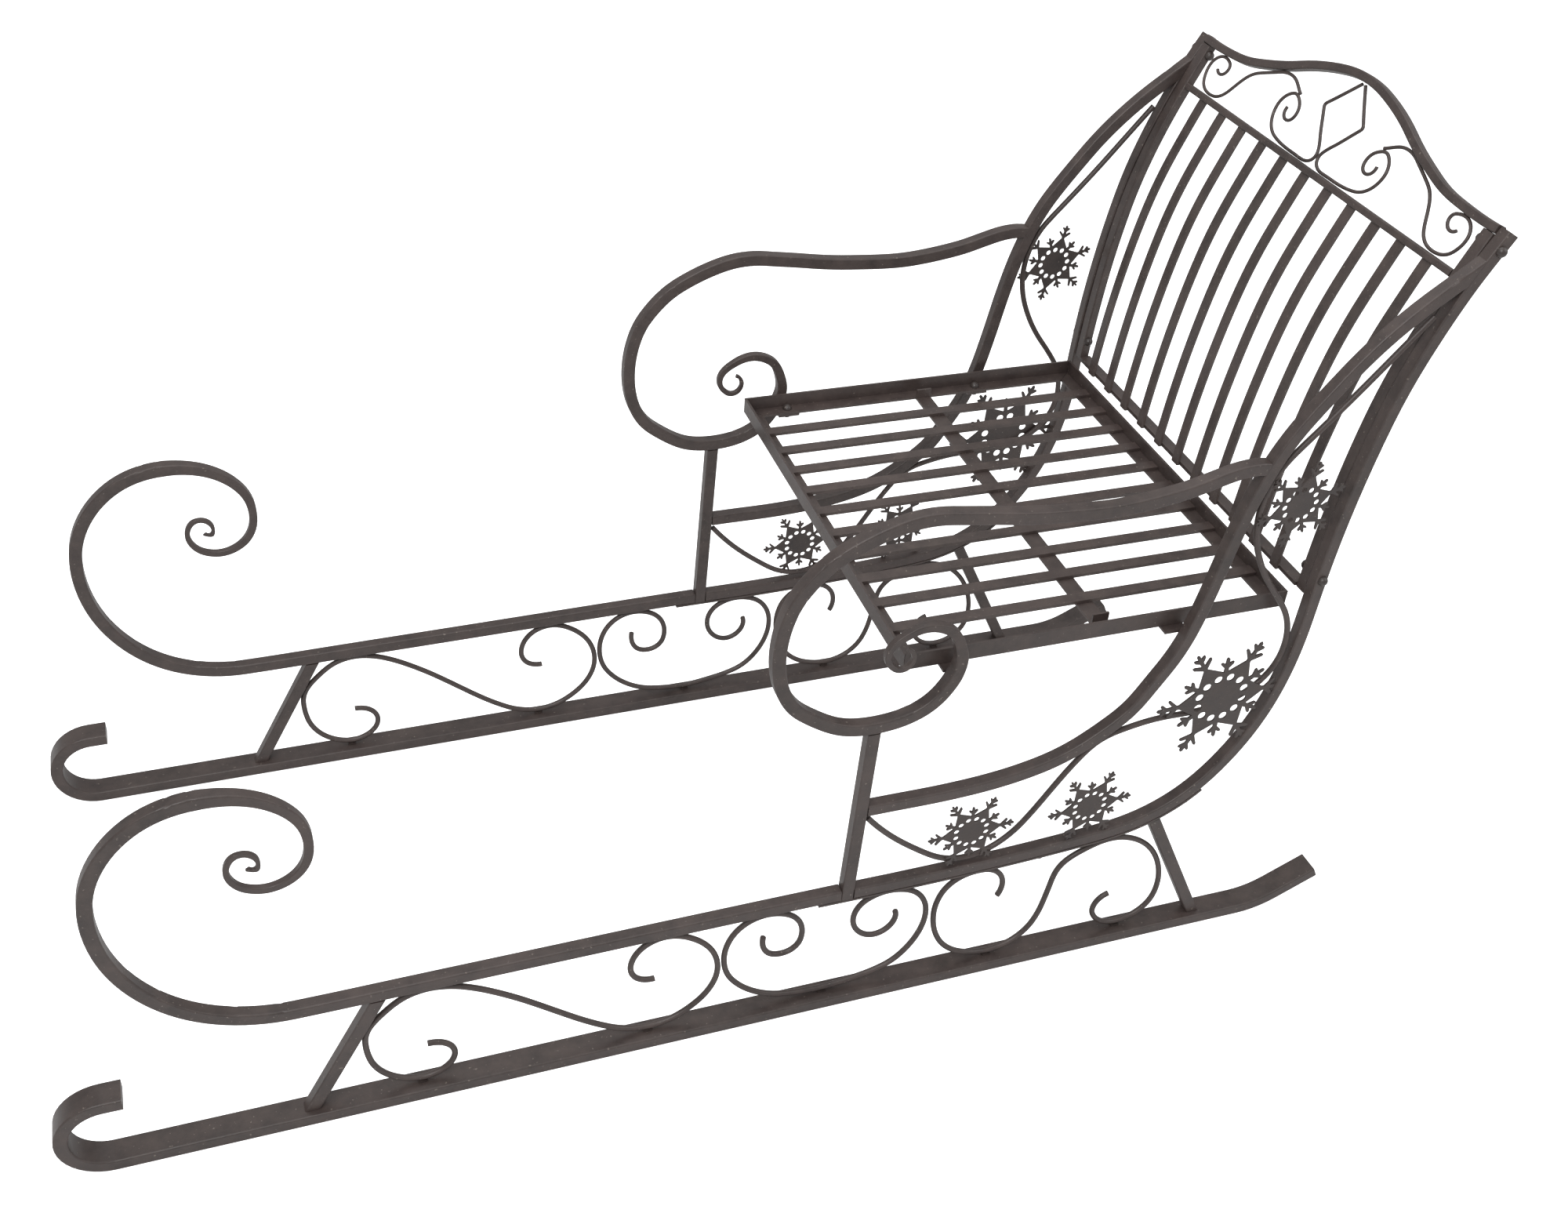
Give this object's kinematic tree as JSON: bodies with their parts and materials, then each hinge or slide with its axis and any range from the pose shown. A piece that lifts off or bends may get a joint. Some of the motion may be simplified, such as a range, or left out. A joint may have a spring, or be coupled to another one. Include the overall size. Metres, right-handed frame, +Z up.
{
  "type": "garden sleigh bench",
  "caption": "Decorative metal sleigh seat: bent-tube side frames with scrolls and snowflakes on two runners, slatted seat and curved slatted back.",
  "frame": {"origin": "centre of the footprint, on the ground", "axes": "+X forward, +Y to the sitter's left, +Z up"},
  "size_m": [1.541, 0.62, 0.9912],
  "materials": {
    "powder_coat": "satin",
    "bolt_steel": "satin"
  },
  "bodies": {
    "root": {"left_runner": "powder_coat", "left_front_rail": "powder_coat", "left_outer_rail": "powder_coat", "left_inner_rail": "powder_coat", "left_armrest": "powder_coat", "left_front_scroll": "powder_coat", "left_center_scroll": "powder_coat", "left_rear_scroll": "powder_coat", "left_ribbon_wire": "powder_coat", "left_front_post": "powder_coat", "left_front_strut": "powder_coat", "left_rear_strut": "powder_coat", "left_mounting_strip": "powder_coat", "left_weld_lugs": "powder_coat", "left_snowflakes": "powder_coat", "left_frame_bolts": "bolt_steel", "left_seat_brackets": "powder_coat", "right_runner": "powder_coat", "right_front_rail": "powder_coat", "right_outer_rail": "powder_coat", "right_inner_rail": "powder_coat", "right_armrest": "powder_coat", "right_front_scroll": "powder_coat", "right_center_scroll": "powder_coat", "right_rear_scroll": "powder_coat", "right_ribbon_wire": "powder_coat", "right_front_post": "powder_coat", "right_front_strut": "powder_coat", "right_rear_strut": "powder_coat", "right_mounting_strip": "powder_coat", "right_weld_lugs": "powder_coat", "right_snowflakes": "powder_coat", "right_frame_bolts": "bolt_steel", "right_seat_brackets": "powder_coat", "seat_front_rail": "powder_coat", "seat_rear_rail": "powder_coat", "seat_left_rail": "powder_coat", "seat_right_rail": "powder_coat", "seat_crossbar": "powder_coat", "seat_slats": "powder_coat", "seat_bolts": "bolt_steel", "back_left_upright": "powder_coat", "back_right_upright": "powder_coat", "back_crown": "powder_coat", "back_upper_rail": "powder_coat", "back_lower_rail": "powder_coat", "back_slats": "powder_coat", "back_left_scrolls": "powder_coat", "back_right_scrolls": "powder_coat"}
  },
  "joints": []
}
